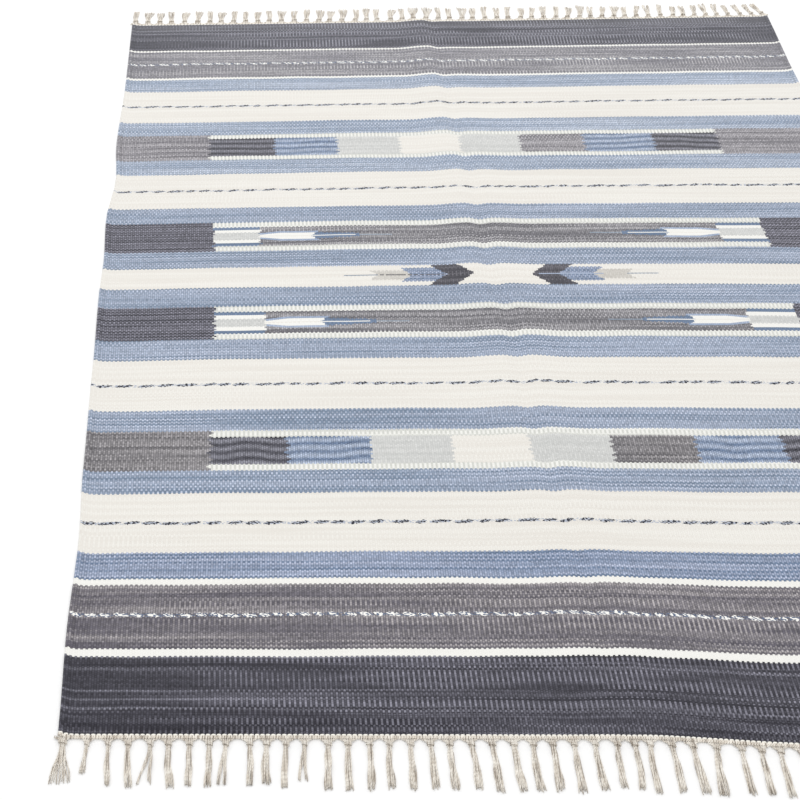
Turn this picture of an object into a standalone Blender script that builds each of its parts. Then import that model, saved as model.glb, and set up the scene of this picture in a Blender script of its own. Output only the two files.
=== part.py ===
# A flat-woven cotton kilim as it lies on a floor: one woven cloth with uneven selvedges and a soft
# packing crease down its middle, and at each end a twined heading with a row of knotted tassels.
# The crease is a soft trough between two low ridges.
# Metres. X runs across the rug, +Y along its length, Z up, with the floor at Z = 0.
import math
import random

import bmesh
import bpy
from mathutils import Vector

# Driving sizes of the cloth
CLOTH_WIDTH = 1.70
CLOTH_LENGTH = 2.40
CLOTH_THICKNESS = 0.004
LONGER_PER_METRE = 0.03      # the rug is woven a little out of square, longer towards its right side
NEAR_EDGE_DIP = 0.016        # how far the near end bulges right of the middle
NEAR_EDGE_DIP_FROM = 0.05    # where across the rug the bulge starts, and how wide its rise is
NEAR_EDGE_DIP_RISE = 0.30
NEAR_EDGE_DIP_REACH = 0.70   # how far up the rug the bulge is felt
SELVEDGE_TURN = 0.007        # how far the weft climbs along the rug where it turns round a selvedge
SELVEDGE_TURN_WIDTH = 0.045

# Bow of the weft: how far it lies towards the far end, per square metre out from the rug's middle
WEFT_BOW = [
    # along, bow
    (0.00, -0.002),
    (0.80, -0.006),
    (1.40, -0.008),
    (2.05, -0.004),
    (2.40, 0.002),
]

# Selvedge: how far each side stands out from a straight line, by distance along the rug
SELVEDGE = [
    # along, left, right
    (0.00, -0.010, 0.004),
    (0.22, -0.006, 0.002),
    (0.43, -0.010, -0.004),
    (0.63, -0.004, 0.001),
    (0.92, -0.001, 0.006),
    (1.19, 0.003, 0.003),
    (1.30, 0.001, 0.007),
    (1.47, 0.006, 0.002),
    (1.64, -0.006, -0.002),
    (1.79, 0.002, 0.003),
    (2.08, -0.004, -0.005),
    (2.40, -0.004, 0.001),
]
SELVEDGE_SECTION = [
    # in from the edge, rise above the cloth: a cord of doubled warps, then the weft's turn
    (0.000, -0.0005),
    (0.005, 0.0009),
    (0.011, 0.0),
    (SELVEDGE_TURN_WIDTH, 0.0),
]

# Packing crease: where its trough runs across the rug, and the ridge on each side of it
CREASE = [
    # along, across, height of the left ridge, height of the right ridge
    (0.00, 0.046, 0.0008, 0.0006),
    (0.31, 0.030, 0.0026, 0.0028),
    (0.61, 0.004, 0.0036, 0.0048),
    (0.80, -0.012, 0.0042, 0.0048),
    (1.08, -0.013, 0.0046, 0.0042),
    (1.30, -0.036, 0.0048, 0.0042),
    (1.58, -0.035, 0.0052, 0.0036),
    (1.88, -0.049, 0.0056, 0.0028),
    (2.16, -0.055, 0.0060, 0.0014),
    (2.40, -0.060, 0.0050, 0.0008),
]
RIDGE_AWAY = 0.028           # from the trough to the crest of each ridge
RIDGE_INNER_FLANK = 0.030
RIDGE_OUTER_FLANK = 0.080
CREASE_FOOT = RIDGE_AWAY + RIDGE_OUTER_FLANK
CREASE_COLUMNS = (CREASE_FOOT, 0.068, 0.045, RIDGE_AWAY, 0.012)
FLAT_COLUMNS = 7             # columns of points between selvedge and crease on each side
ROWS = 36

# Heading and fringe
END_GAP = 0.0008             # parting between the cloth and its heading
HEADING_DEPTH = 0.009
HEADING_HEIGHT = 0.0042
TASSELS = 54
CORNER_INSET = 0.009         # from the selvedge to the middle of the first tassel
ROOT_WIDTH = 0.016           # warps gathered into one knot, where they leave the heading
PLACE_SPREAD = 0.0025        # the loosest a tassel is knotted off its place
LENGTH_SPREAD = 0.09         # share by which one tassel is longer or shorter than the next
LEAN_SPREAD = math.radians(3.5)
LEAN_STEP = math.radians(7)  # most that two neighbours lean apart, so that their tips stay clear
BEND_SPREAD = 0.003
REST_SHARE = 0.5             # share of its length by which a tassel lies on the floor again
TASSEL_SECTIONS = [
    # share of length, width, height
    (0.05, 0.0125, 0.0055),
    (0.10, 0.0108, 0.0068),
    (0.15, 0.0086, 0.0054),
    (0.50, 0.0090, 0.0048),
    (0.88, 0.0110, 0.0042),
    (1.00, 0.0098, 0.0030),
]

# How the tassels fall, by where they hang across the rug
NEAR_FALL = [
    # across, off its even place, degrees of lean to the right, length, thickness against the usual
    (-0.831, 0.000, 0.0, 0.086, 1.30),
    (-0.799, 0.006, -4.5, 0.066, 0.70),
    (-0.768, 0.006, 1.0, 0.089, 0.80),
    (-0.736, 0.006, 2.3, 0.091, 0.95),
    (-0.704, 0.006, -1.5, 0.084, 0.90),
    (-0.673, 0.004, 3.9, 0.094, 1.05),
    (-0.641, 0.004, 0.5, 0.091, 1.00),
    (-0.610, 0.002, -1.5, 0.090, 1.00),
    (-0.578, -0.003, -3.4, 0.089, 0.90),
    (-0.546, 0.000, -0.9, 0.086, 0.95),
    (-0.483, -0.006, -3.1, 0.092, 0.95),
    (-0.452, -0.009, -2.3, 0.081, 0.80),
    (-0.420, -0.005, -1.7, 0.095, 1.10),
    (-0.325, -0.004, -0.3, 0.096, 1.00),
    (-0.199, -0.007, 2.5, 0.098, 1.05),
    (-0.135, -0.002, 2.0, 0.101, 1.10),
    (-0.072, -0.005, 0.3, 0.100, 1.00),
    (-0.009, -0.002, 1.2, 0.101, 0.95),
    (0.023, 0.001, -2.0, 0.094, 1.00),
    (0.086, -0.011, -1.6, 0.103, 1.00),
    (0.149, -0.008, 1.9, 0.100, 1.10),
    (0.181, -0.002, -4.5, 0.103, 1.10),
    (0.212, 0.004, -1.3, 0.095, 1.00),
    (0.300, 0.000, 0.0, 0.098, 1.00),
    (0.812, 0.000, 0.0, 0.098, 1.00),
    (0.845, 0.000, 0.0, 0.096, 1.25),
]
FAR_FALL = [
    (-0.845, 0.000, -3.0, 0.064, 1.20),
    (-0.812, 0.000, 2.0, 0.066, 1.00),
    (0.000, 0.000, 4.0, 0.070, 1.00),
    (0.350, 0.000, 9.0, 0.070, 1.00),
    (0.650, 0.000, 7.0, 0.068, 1.00),
    (0.810, 0.000, -10.0, 0.066, 1.00),
    (0.842, 0.000, -12.0, 0.066, 1.20),
]
FRINGES = [
    # node, end, table of its tassels, how loosely they keep to it, seed
    ("fringe_near", -1, NEAR_FALL, 0.25, 11),
    ("fringe_far", 1, FAR_FALL, 1.0, 23),
]
DYED_COTTON = (0.42, 0.47, 0.55)
RAW_COTTON = (0.72, 0.66, 0.58)


def clear_scene():
    for old in list(bpy.data.objects):
        bpy.data.objects.remove(old, do_unlink=True)


def soft_step(value):
    value = min(max(value, 0.0), 1.0)
    return value * value * (3.0 - 2.0 * value)


def read_table(table, along, column):
    """The table's value at this distance along the rug, eased from row to row."""
    if along <= table[0][0]:
        return table[0][column]
    for low, high in zip(table, table[1:]):
        if along <= high[0]:
            share = soft_step((along - low[0]) / (high[0] - low[0]))
            return low[column] + (high[column] - low[column]) * share
    return table[-1][column]


def side_edge(along, side):
    """Where the selvedge runs across the rug, on the left (-1) or the right (+1)."""
    column = 1 if side < 0 else 2
    return side * (CLOTH_WIDTH / 2 + read_table(SELVEDGE, along, column))


def ridge(away, height):
    """Height of one ridge at this distance out from the trough."""
    past = away - RIDGE_AWAY
    flank = RIDGE_OUTER_FLANK if past > 0.0 else RIDGE_INNER_FLANK
    return height * (1.0 - soft_step(abs(past) / flank))


def crease_height(across, along):
    away = across - read_table(CREASE, along, 1)
    return ridge(-away, read_table(CREASE, along, 2)) + ridge(away, read_table(CREASE, along, 3))


def lie_along(across, along):
    """Where a point of the cloth comes to lie along the floor, out of square and bowed as woven."""
    middle = CLOTH_LENGTH / 2
    lie = middle + (along - middle) * (1.0 + LONGER_PER_METRE * across)
    lie += read_table(WEFT_BOW, along, 1) * across * across
    bulge = soft_step((across - NEAR_EDGE_DIP_FROM) / NEAR_EDGE_DIP_RISE)
    lie -= NEAR_EDGE_DIP * bulge * soft_step(1.0 - along / NEAR_EDGE_DIP_REACH)
    inwards = min(across - side_edge(along, -1), side_edge(along, 1) - across)
    return lie + SELVEDGE_TURN * max(0.0, 1.0 - inwards / SELVEDGE_TURN_WIDTH)


def column_stations():
    """Columns of points from left to right: (side, part of the rug, place within it, rise)."""
    half = [("selvedge", inwards, rise) for inwards, rise in SELVEDGE_SECTION]
    half += [("flat", step / (FLAT_COLUMNS + 1), 0.0) for step in range(1, FLAT_COLUMNS + 1)]
    half += [("crease", away, 0.0) for away in CREASE_COLUMNS]
    left = [(-1, *column) for column in half]
    right = [(1, *column) for column in reversed(half)]
    return left + [(1, "crease", 0.0, 0.0)] + right


def station_across(station, along):
    side, part, place, rise = station
    edge = side_edge(along, side)
    trough = read_table(CREASE, along, 1)
    if part == "crease":
        return trough + side * place
    if part == "selvedge":
        return edge - side * place
    foot = trough + side * CREASE_FOOT
    inner_edge = edge - side * SELVEDGE_TURN_WIDTH
    return inner_edge + (foot - inner_edge) * place


def thread_material(name, colour, roughness):
    material = bpy.data.materials.new(name)
    material.use_nodes = True
    shader = material.node_tree.nodes["Principled BSDF"]
    shader.inputs["Base Color"].default_value = (*colour, 1.0)
    shader.inputs["Roughness"].default_value = roughness
    shader.inputs["Metallic"].default_value = 0.0
    return material


def finish_object(name, bm, material, parent):
    bmesh.ops.recalc_face_normals(bm, faces=bm.faces[:])
    mesh = bpy.data.meshes.new(name)
    bm.to_mesh(mesh)
    bm.free()
    mesh.materials.append(material)
    obj = bpy.data.objects.new(name, mesh)
    bpy.context.scene.collection.objects.link(obj)
    obj.parent = parent
    return obj


def thicken(bm, thickness, rise):
    """Turns a flat grid into a closed sheet. rise is the layer that holds what a point adds."""
    made = bmesh.ops.extrude_face_region(bm, geom=bm.faces[:])
    for item in made["geom"]:
        if isinstance(item, bmesh.types.BMVert):
            item.co.z += thickness + item[rise]


def weave_field(parent):
    """The cloth: an even sheet that lies flat on the floor but for its crease."""
    stations = column_stations()
    last = len(stations) - 1
    bm = bmesh.new()
    rise = bm.verts.layers.float.new("rise")
    bmesh.ops.create_grid(bm, x_segments=last, y_segments=ROWS, size=0.5)
    for vert in bm.verts:
        station = stations[round((vert.co.x + 0.5) * last)]
        along = CLOTH_LENGTH * round((vert.co.y + 0.5) * ROWS) / ROWS
        across = station_across(station, along)
        vert.co = Vector((across, lie_along(across, along), crease_height(across, along)))
        vert[rise] = station[-1]
    thicken(bm, CLOTH_THICKNESS, rise)
    return finish_object("woven_field", bm, thread_material("dyed_weft", DYED_COTTON, 0.9), parent)


def end_along(end):
    return 0.0 if end < 0 else CLOTH_LENGTH


def end_points(end):
    """The corners of the cloth's near (-1) or far (+1) edge, from its left side to its right."""
    places = [station_across(station, end_along(end)) for station in column_stations()]
    return [(across, lie_along(across, end_along(end))) for across in places]


def heading_line(across, edge, end, depth):
    """How far along the rug a point of the heading lies, at this depth out from the cloth's edge."""
    for left, right in zip(edge, edge[1:]):
        if across <= right[0]:
            break
    share = (across - left[0]) / (right[0] - left[0])
    return left[1] + (right[1] - left[1]) * share + end * (END_GAP + depth)


def lay_out_tassels(end, fall, looseness, draw):
    """Each tassel from left to right: (place across the rug, lean, length, bend, thickness)."""
    first = side_edge(end_along(end), -1) + CORNER_INSET
    pitch = (side_edge(end_along(end), 1) - CORNER_INSET - first) / (TASSELS - 1)
    tassels = []
    for index in range(TASSELS):
        even = first + pitch * index
        inner = 0 < index < TASSELS - 1
        aside = read_table(fall, even, 1) + draw.uniform(-PLACE_SPREAD, PLACE_SPREAD) * looseness
        place = even + aside if inner else even
        lean = math.radians(read_table(fall, even, 2))
        lean += draw.uniform(-LEAN_SPREAD, LEAN_SPREAD) * looseness
        if tassels:
            lean = min(max(lean, tassels[-1][1] - LEAN_STEP), tassels[-1][1] + LEAN_STEP)
        length = read_table(fall, even, 3)
        length *= 1.0 + draw.uniform(-LENGTH_SPREAD, LENGTH_SPREAD) * looseness
        bend = draw.uniform(-BEND_SPREAD, BEND_SPREAD)
        tassels.append((place, lean, length, bend, read_table(fall, even, 4)))
    return tassels


def lay_heading(bm, cuts, edge, end):
    """The narrow strip of twined warps, on the cloth's edge and over the end of its crease."""
    last = len(cuts) - 1
    rise = bm.verts.layers.float.new("rise")
    bmesh.ops.create_grid(bm, x_segments=last, y_segments=1, size=0.5)
    for vert in bm.verts:
        across = cuts[round((vert.co.x + 0.5) * last)]
        depth = HEADING_DEPTH if vert.co.y * end > 0 else 0.0
        lift = crease_height(across, end_along(end))
        vert.co = Vector((across, heading_line(across, edge, end, depth), lift))
    thicken(bm, HEADING_HEIGHT, rise)
    bm.normal_update()


def root_face(bm, place, end):
    """The upright face on the heading's outer side where a tassel's warps leave it."""
    upright = [face for face in bm.faces if face.normal.y * end > 0.9]
    return min(upright, key=lambda face: abs(face.calc_center_median().x - place))


def grow_tassel(bm, face, end, length, lean, bend, growth):
    """Draws a root face out into a knot and a tassel that rests level on the floor."""
    root = face.calc_center_median()
    lift = min(vert.co.z for vert in face.verts)
    beside = Vector((math.cos(lean), -end * math.sin(lean)))
    for share, width, height in TASSEL_SECTIONS:
        face = bmesh.ops.extrude_discrete_faces(bm, faces=[face])["faces"][0]
        centre = face.calc_center_median()
        middle_x = root.x + math.sin(lean) * length * share + bend * math.sin(math.pi * share)
        middle_y = root.y + end * math.cos(lean) * length * share
        floor = lift * max(0.0, 1.0 - share / REST_SHARE)
        for vert in face.verts:
            half = width * growth / 2 if vert.co.x > centre.x else -width * growth / 2
            vert.co.z = floor + (height if vert.co.z > centre.z else 0.0)
            vert.co.x = middle_x + beside.x * half
            vert.co.y = middle_y + beside.y * half


def knot_fringe(name, end, fall, looseness, seed, parent):
    """The twined heading along one end, parted from the cloth, with its row of knotted tassels."""
    tassels = lay_out_tassels(end, fall, looseness, random.Random(seed))
    cuts = [side_edge(end_along(end), -1)]
    for place, *_ in tassels:
        cuts += [place - ROOT_WIDTH / 2, place + ROOT_WIDTH / 2]
    cuts.append(side_edge(end_along(end), 1))
    bm = bmesh.new()
    lay_heading(bm, cuts, end_points(end), end)
    for place, lean, length, bend, growth in tassels:
        grow_tassel(bm, root_face(bm, place, end), end, length, lean, bend, growth)
    return finish_object(name, bm, thread_material(name + "_warp", RAW_COTTON, 0.92), parent)


def centre_on_floor(parent, pieces):
    """Puts the middle of everything's outline over the origin, with the underside on the floor."""
    corners = [vert.co for piece in pieces for vert in piece.data.vertices]
    low = [min(corner[axis] for corner in corners) for axis in range(3)]
    high = [max(corner[axis] for corner in corners) for axis in range(3)]
    parent.location = (-(low[0] + high[0]) / 2, -(low[1] + high[1]) / 2, -low[2])


def build_rug():
    clear_scene()
    rug = bpy.data.objects.new("kilim", None)
    bpy.context.scene.collection.objects.link(rug)
    pieces = [weave_field(rug)]
    for fringe in FRINGES:
        pieces.append(knot_fringe(*fringe, rug))
    centre_on_floor(rug, pieces)


build_rug()
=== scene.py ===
import math
import random
from functools import partial

import bmesh
import bpy
from mathutils import Matrix, Vector


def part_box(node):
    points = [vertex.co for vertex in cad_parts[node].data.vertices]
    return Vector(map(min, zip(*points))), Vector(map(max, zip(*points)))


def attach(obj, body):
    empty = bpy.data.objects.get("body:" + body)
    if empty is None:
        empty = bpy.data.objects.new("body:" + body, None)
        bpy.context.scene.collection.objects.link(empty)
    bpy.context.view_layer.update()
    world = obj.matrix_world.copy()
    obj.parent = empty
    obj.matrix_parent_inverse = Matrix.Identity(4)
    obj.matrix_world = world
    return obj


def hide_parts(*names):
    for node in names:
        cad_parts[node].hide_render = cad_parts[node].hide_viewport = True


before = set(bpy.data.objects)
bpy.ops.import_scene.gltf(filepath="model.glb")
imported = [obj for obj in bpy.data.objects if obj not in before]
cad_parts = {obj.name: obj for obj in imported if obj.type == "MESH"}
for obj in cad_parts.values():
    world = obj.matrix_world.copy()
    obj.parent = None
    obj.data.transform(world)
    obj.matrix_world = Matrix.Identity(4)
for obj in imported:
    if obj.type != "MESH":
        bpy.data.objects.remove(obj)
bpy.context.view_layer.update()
scene = bpy.context.scene

# The rug's own measure, in metres: across from its middle to the right, along from its near end.

cloth = {
    "width": 1.70,
    "length": 2.40,
    "thickness": 0.004,
    "longerPerMetre": 0.03,  # woven a little out of square, longer towards the right
    "nearBulge": 0.016,  # how far the near end bulges right of the middle
    "nearBulgeFrom": 0.05,
    "nearBulgeRise": 0.30,
    "nearBulgeReach": 0.70,
    "turn": 0.008,  # how far the weft climbs where it turns round a selvedge
    "turnWidth": 0.045,
    "warps": 404,
    "pick": 0.0024,  # one weft thread to the next
    "rows": 48,  # rows of points along the rug
    "ribHeight": 0.00035,  # weft humps over the warps
    "scallop": 0.0008,  # the end picks step in and out from warp to warp
    "cordColumns": 5,  # columns of points over the doubled warps of a selvedge
    "cordRise": 0.0008,
    "cordRoll": (0.30, 0.10),  # how far its first columns roll in, as shares of the thickness
    "grooveAt": 0.0065,  # painted shade of a groove inside each selvedge, as a share of the width
    "grooveHalf": 0.0022,
    "wander": 0.005,  # how far the edges of the bands waver
}

# how far each side stands out from a straight line: along, left, right
selvedge = [
    (0.00, -0.010, 0.004),
    (0.22, -0.006, 0.002),
    (0.43, -0.010, -0.004),
    (0.63, -0.004, 0.001),
    (0.92, -0.001, 0.006),
    (1.19, 0.003, 0.003),
    (1.30, 0.001, 0.007),
    (1.47, 0.006, 0.002),
    (1.64, -0.006, -0.002),
    (1.79, 0.002, 0.003),
    (2.08, -0.004, -0.005),
    (2.40, -0.004, 0.001),
]

# how far the weft bows towards the far end where it nears a side: along, left, right
bowAt = 0.80
weftBow = [
    (0.00, -0.0013, -0.0013),
    (0.35, -0.0051, -0.0067),
    (0.80, -0.0050, -0.0124),
    (1.25, -0.0080, -0.0107),
    (1.70, -0.0070, -0.0042),
    (2.05, -0.0018, 0.0007),
    (2.40, 0.0013, 0.0013),
]

# the packing crease is a soft trough between two ridges: along, across, left ridge, right ridge
crease = [
    (0.00, 0.046, 0.0008, 0.0006),
    (0.31, 0.030, 0.0026, 0.0028),
    (0.61, 0.004, 0.0036, 0.0048),
    (0.80, -0.012, 0.0042, 0.0048),
    (1.08, -0.013, 0.0046, 0.0042),
    (1.30, -0.036, 0.0048, 0.0042),
    (1.58, -0.035, 0.0052, 0.0036),
    (1.88, -0.049, 0.0056, 0.0028),
    (2.16, -0.055, 0.0060, 0.0014),
    (2.40, -0.060, 0.0050, 0.0008),
]
creaseForm = {"ridgeAway": 0.028, "innerFlank": 0.030, "outerFlank": 0.080}


def softStep(value):
    value = min(max(value, 0.0), 1.0)
    return value * value * (3.0 - 2.0 * value)


def readTable(table, along, column):
    if along <= table[0][0]:
        return table[0][column]
    for low, high in zip(table, table[1:]):
        if along <= high[0]:
            share = softStep((along - low[0]) / (high[0] - low[0]))
            return low[column] + (high[column] - low[column]) * share
    return table[-1][column]


def sideEdge(along, side):
    return side * (cloth["width"] / 2 + readTable(selvedge, along, 1 if side < 0 else 2))


def ridge(away, height):
    # away is measured outwards from the trough
    past = away - creaseForm["ridgeAway"]
    flank = creaseForm["outerFlank"] if past > 0 else creaseForm["innerFlank"]
    return height * (1.0 - softStep(abs(past) / flank))


def creaseHeight(across, along):
    away = across - readTable(crease, along, 1)
    return ridge(-away, readTable(crease, along, 2)) + ridge(away, readTable(crease, along, 3))


def lieAlong(across, along):
    middle = cloth["length"] / 2
    lie = middle + (along - middle) * (1.0 + cloth["longerPerMetre"] * across)
    share = across / bowAt
    lie += readTable(weftBow, along, 1) * (share * share - share) / 2
    lie += readTable(weftBow, along, 2) * (share * share + share) / 2
    bulge = softStep((across - cloth["nearBulgeFrom"]) / cloth["nearBulgeRise"])
    lie -= cloth["nearBulge"] * bulge * softStep(1.0 - along / cloth["nearBulgeReach"])
    inwards = min(across - sideEdge(along, -1), sideEdge(along, 1) - across)
    return lie + cloth["turn"] * max(0.0, 1.0 - inwards / cloth["turnWidth"]) ** 4


# the CAD cloth's box says where the rug's own measure starts
clothLow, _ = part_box("woven_field")
rugPlace = Vector((
    clothLow.x - min(sideEdge(row[0], -1) for row in selvedge),
    clothLow.y - lieAlong(sideEdge(0.0, 1) - cloth["turnWidth"], 0.0),
    0.0,
))


# Helpers for materials

def linear(colour):
    channels = [int(colour[index:index + 2], 16) / 255 for index in (0, 2, 4)]
    return [c / 12.92 if c <= 0.04045 else ((c + 0.055) / 1.055) ** 2.4 for c in channels] + [1.0]


# the material at hand, which these helpers add to
atHand = {}


def startMaterial(name):
    material = bpy.data.materials.new(name)
    material.use_nodes = True
    atHand["tree"] = material.node_tree
    return material, material.node_tree.nodes["Principled BSDF"]


def addNode(kind, **settings):
    node = atHand["tree"].nodes.new(kind)
    for name, value in settings.items():
        setattr(node, name, value)
    return node


def feed(socket, value):
    if isinstance(value, bpy.types.NodeSocket):
        atHand["tree"].links.new(value, socket)
    else:
        socket.default_value = value


def feedAll(node, values):
    for name, value in values.items():
        feed(node.inputs[name], value)


def addBump(shader, height, strength, distance):
    bump = addNode("ShaderNodeBump")
    feedAll(bump, {"Strength": strength, "Distance": distance, "Height": height})
    feed(shader.inputs["Normal"], bump.outputs[0])


def calc(operation, *values):
    node = addNode("ShaderNodeMath", operation=operation)
    for socket, value in zip(node.inputs, values):
        feed(socket, value)
    return node.outputs[0]


times = partial(calc, "MULTIPLY")
plus = partial(calc, "ADD")
minus = partial(calc, "SUBTRACT")
divided = partial(calc, "DIVIDE")
scaled = partial(calc, "MULTIPLY_ADD")  # value, factor, offset
below = partial(calc, "LESS_THAN")
above = partial(calc, "GREATER_THAN")
lesser = partial(calc, "MINIMUM")
greater = partial(calc, "MAXIMUM")
modulo = partial(calc, "MODULO")
pingPong = partial(calc, "PINGPONG")
wholeOf = partial(calc, "FLOOR")
fractOf = partial(calc, "FRACT")
sizeOf = partial(calc, "ABSOLUTE")


def apart(one, other):
    return sizeOf(minus(one, other))


def between(value, low, high):
    return times(above(value, low), below(value, high))


def blendValue(mask, off, on):
    node = addNode("ShaderNodeMix", data_type="FLOAT")
    feedAll(node, {0: mask, 2: off, 3: on})
    return node.outputs[0]


def blendColour(mask, off, on, way="MIX"):
    node = addNode("ShaderNodeMix", data_type="RGBA", blend_type=way)
    feedAll(node, {0: mask, 6: off, 7: on})
    return node.outputs[2]


def stretch(value, low, high, toLow=0.0, toHigh=1.0):
    node = addNode("ShaderNodeMapRange", clamp=True)
    feedAll(node, dict(enumerate((value, low, high, toLow, toHigh))))
    return node.outputs[0]


def readFlat(kind, x, y):
    place = addNode("ShaderNodeCombineXYZ")
    feedAll(place, {0: x, 1: y})
    noise = addNode(kind, noise_dimensions="2D")
    feed(noise.inputs["Vector"], place.outputs[0])
    return noise


def noiseAt(x, xSwells, y, ySwells, detail=0.0):
    # each measure with how many swells of the noise there are to one of it
    noise = readFlat("ShaderNodeTexNoise", times(x, xSwells), times(y, ySwells))
    feedAll(noise, {"Scale": 1.0, "Detail": detail})
    return noise.outputs[0]


def cellNoise(x, y):
    return readFlat("ShaderNodeTexWhiteNoise", x, y).outputs["Value"]


def yarnRamp(key, colours):
    # one flat step of the ramp for each yarn
    node = addNode("ShaderNodeValToRGB")
    ramp = node.color_ramp
    ramp.interpolation = "CONSTANT"
    ramp.elements.remove(ramp.elements[1])
    ramp.elements[0].color = colours[0]
    for index, colour in enumerate(colours[1:], 1):
        ramp.elements.new(index / len(colours)).color = colour
    feed(node.inputs[0], key)
    return node.outputs[0]


def readSteps(value, rows):
    # each row is a start and the numbers that hold up to the next row's start
    totals = list(rows[0][1:])
    for before, after in zip(rows, rows[1:]):
        past = above(value, after[0])
        for column, (old, new) in enumerate(zip(before[1:], after[1:])):
            if new != old:
                totals[column] = scaled(past, new - old, totals[column])
    return totals


def splitUp(value):
    node = addNode("ShaderNodeSeparateXYZ")
    feed(node.inputs[0], value)
    return node.outputs[:]


# Yarns: dark thread, light thread, how far the two keep apart,
# then how they take turns: in ticks, in streaks, in knots, and of the knots how much in a lattice,
# and how much single threads stand out
yarns = {
    # the far copies of a yarn are lighter: painted sheen of the light grazing the far end
    "charcoal": ("35343c", "83828e", 0.85, 0.0, 0.0, 0.0, 0.0, 1.0),
    "farCharcoal": ("393943", "94949f", 0.85, 0.0, 0.0, 0.3, 0.5, 0.9),
    "grey": ("5c5962", "aaa5a6", 0.85, 0.0, 0.0, 0.35, 0.7, 1.0),
    "farGrey": ("73727a", "bbb9bb", 0.80, 0.0, 0.0, 0.35, 0.7, 0.9),
    "blue": ("748499", "c5ccde", 0.80, 0.0, 0.0, 0.9, 1.0, 0.6),
    "farBlue": ("808fa5", "cfd6e3", 0.80, 0.0, 0.0, 0.9, 1.0, 0.6),
    "nearBlue": ("667892", "bbc2d7", 0.80, 0.0, 0.0, 0.8, 1.0, 0.7),
    "cream": ("e4e0d9", "edebe5", 0.80, 0.0, 0.0, 0.0, 0.0, 0.04),
    "white": ("eeede8", "f3f2ee", 0.60, 0.0, 0.0, 0.0, 0.0, 0.06),
    "ticked": ("ecece7", "d0d1cb", 1.00, 1.0, 0.0, 0.0, 0.0, 0.15),
    "pale": ("c6c7c5", "dadad8", 0.70, 0.0, 0.2, 0.0, 0.0, 0.25),
    "blockGrey": ("646266", "a5a2a4", 0.85, 0.0, 0.0, 0.4, 0.6, 1.0),
    "farBlockGrey": ("706e74", "b8b5b9", 0.85, 0.0, 0.0, 0.4, 0.6, 0.9),
    "blockDark": ("2b2b34", "93939e", 0.85, 0.0, 1.0, 0.0, 0.0, 1.0),
    "blockBlue": ("5b6e8b", "bec8da", 0.85, 0.0, 1.0, 0.0, 0.0, 0.8),
    "edgeDark": ("34343d", "8e8d9a", 0.85, 0.0, 0.0, 1.0, 0.0, 1.0),
    "lozengeGrey": ("636268", "b2b0b3", 0.85, 0.0, 0.0, 0.4, 0.6, 1.0),
    "lineBlue": ("62758f", "8294b2", 0.50, 0.0, 0.0, 0.0, 0.0, 0.3),
    "softBlue": ("95a4bd", "b9c3d5", 0.60, 0.0, 0.0, 0.0, 0.0, 0.4),
    "arrowDark": ("3d3c44", "77757c", 0.60, 0.0, 0.0, 0.2, 0.0, 0.8),
    "arrowPale": ("c3bfb8", "d8d5cf", 0.70, 0.0, 0.2, 0.0, 0.0, 0.25),
    "greyLine": ("84909f", "b9c0c8", 0.60, 0.0, 0.0, 0.0, 0.0, 0.5),
}
yarnNames = list(yarns)


def yarnKey(name):
    return (yarnNames.index(name) + 0.5) / len(yarnNames)


def dye(key, mask, name):
    return blendValue(mask, key, yarnKey(name))


# bands from the near end to the far end: where each starts, its yarn
bands = [
    (0.000, "charcoal"),
    (0.163, "white"),
    (0.179, "grey"),
    (0.327, "white"),
    (0.343, "nearBlue"),
    (0.4065, "cream"),
    (0.560, "blue"),
    (0.622, "blockGrey"),
    (0.736, "blue"),
    (0.7985, "cream"),
    (0.956, "blue"),
    (1.023, "lozengeGrey"),
    (1.1365, "blue"),
    (1.2045, "cream"),
    (1.278, "blue"),
    (1.341, "lozengeGrey"),
    (1.4535, "blue"),
    (1.5135, "cream"),
    (1.658, "farBlue"),
    (1.719, "farBlockGrey"),
    (1.833, "farBlue"),
    (1.8915, "cream"),
    (2.0445, "farBlue"),
    (2.103, "white"),
    (2.112, "farGrey"),
    (2.249, "white"),
    (2.256, "farCharcoal"),
]

# rows of blocks: the yarn beside them, and where each block starts across the rug
blockRows = [
    {"low": 0.6225, "high": 0.7345, "beside": "blockGrey",
     "starts": (-0.621, -0.478, -0.322, -0.170, -0.024, 0.130, 0.290, 0.456, 0.604)},
    {"low": 1.7195, "high": 1.8325, "beside": "farBlockGrey",
     "starts": (-0.635, -0.483, -0.336, -0.190, -0.048, 0.096, 0.249, 0.416, 0.573)},
]
# the blocks' yarns from the left, where None is the yarn beside them
blockYarns = ("blockDark", "blockBlue", "pale", "cream", "pale", None, "blockBlue", "blockDark", None)
blockForm = {
    "tickedLine": 0.0175,
    "tickHalf": 0.0052,
    "teeth": 6,
    "toothDepth": 0.010,
    "streaks": 3.5,  # wavy streaks over the height of a block
    "streakCut": (0.08, 0.42),
}

# rows of long lozenges, measured from their middle: across to each form's start
lozengeRows = [
    {"low": 1.023, "high": 1.1365, "middle": -0.014,
     "streak": 0.273, "core": 0.386, "pale": 0.497, "edge": 0.600},
    {"low": 1.341, "high": 1.4535, "middle": -0.014,
     "streak": 0.287, "core": 0.394, "pale": 0.504, "edge": 0.604},
]
lozengeForm = {
    "tickedLine": 0.019,
    "blueLine": 0.0115,
    "paleHalf": 0.014,
    "coreHalf": 0.0125,
    "coreTip": 0.005,  # its half height at the outer tip
    "coreTaper": 0.045,
    "coreBlue": 0.0065,
    "coreFork": 1.0,  # how far the core's inner end forks, against its height
    "warmHalf": 0.0018,  # a warm line along the core's middle
    "streakHalf": 0.0140,
    "streakTip": 0.0060,
    "streakLong": 0.115,  # it narrows to a tip over this length
    "threadHalf": 0.0015,
    "threadFrom": 0.012,  # from the streak's tip
    "tailHalf": 0.002,
    "tailLong": 0.07,
    "ragged": 0.006,
}

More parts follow.
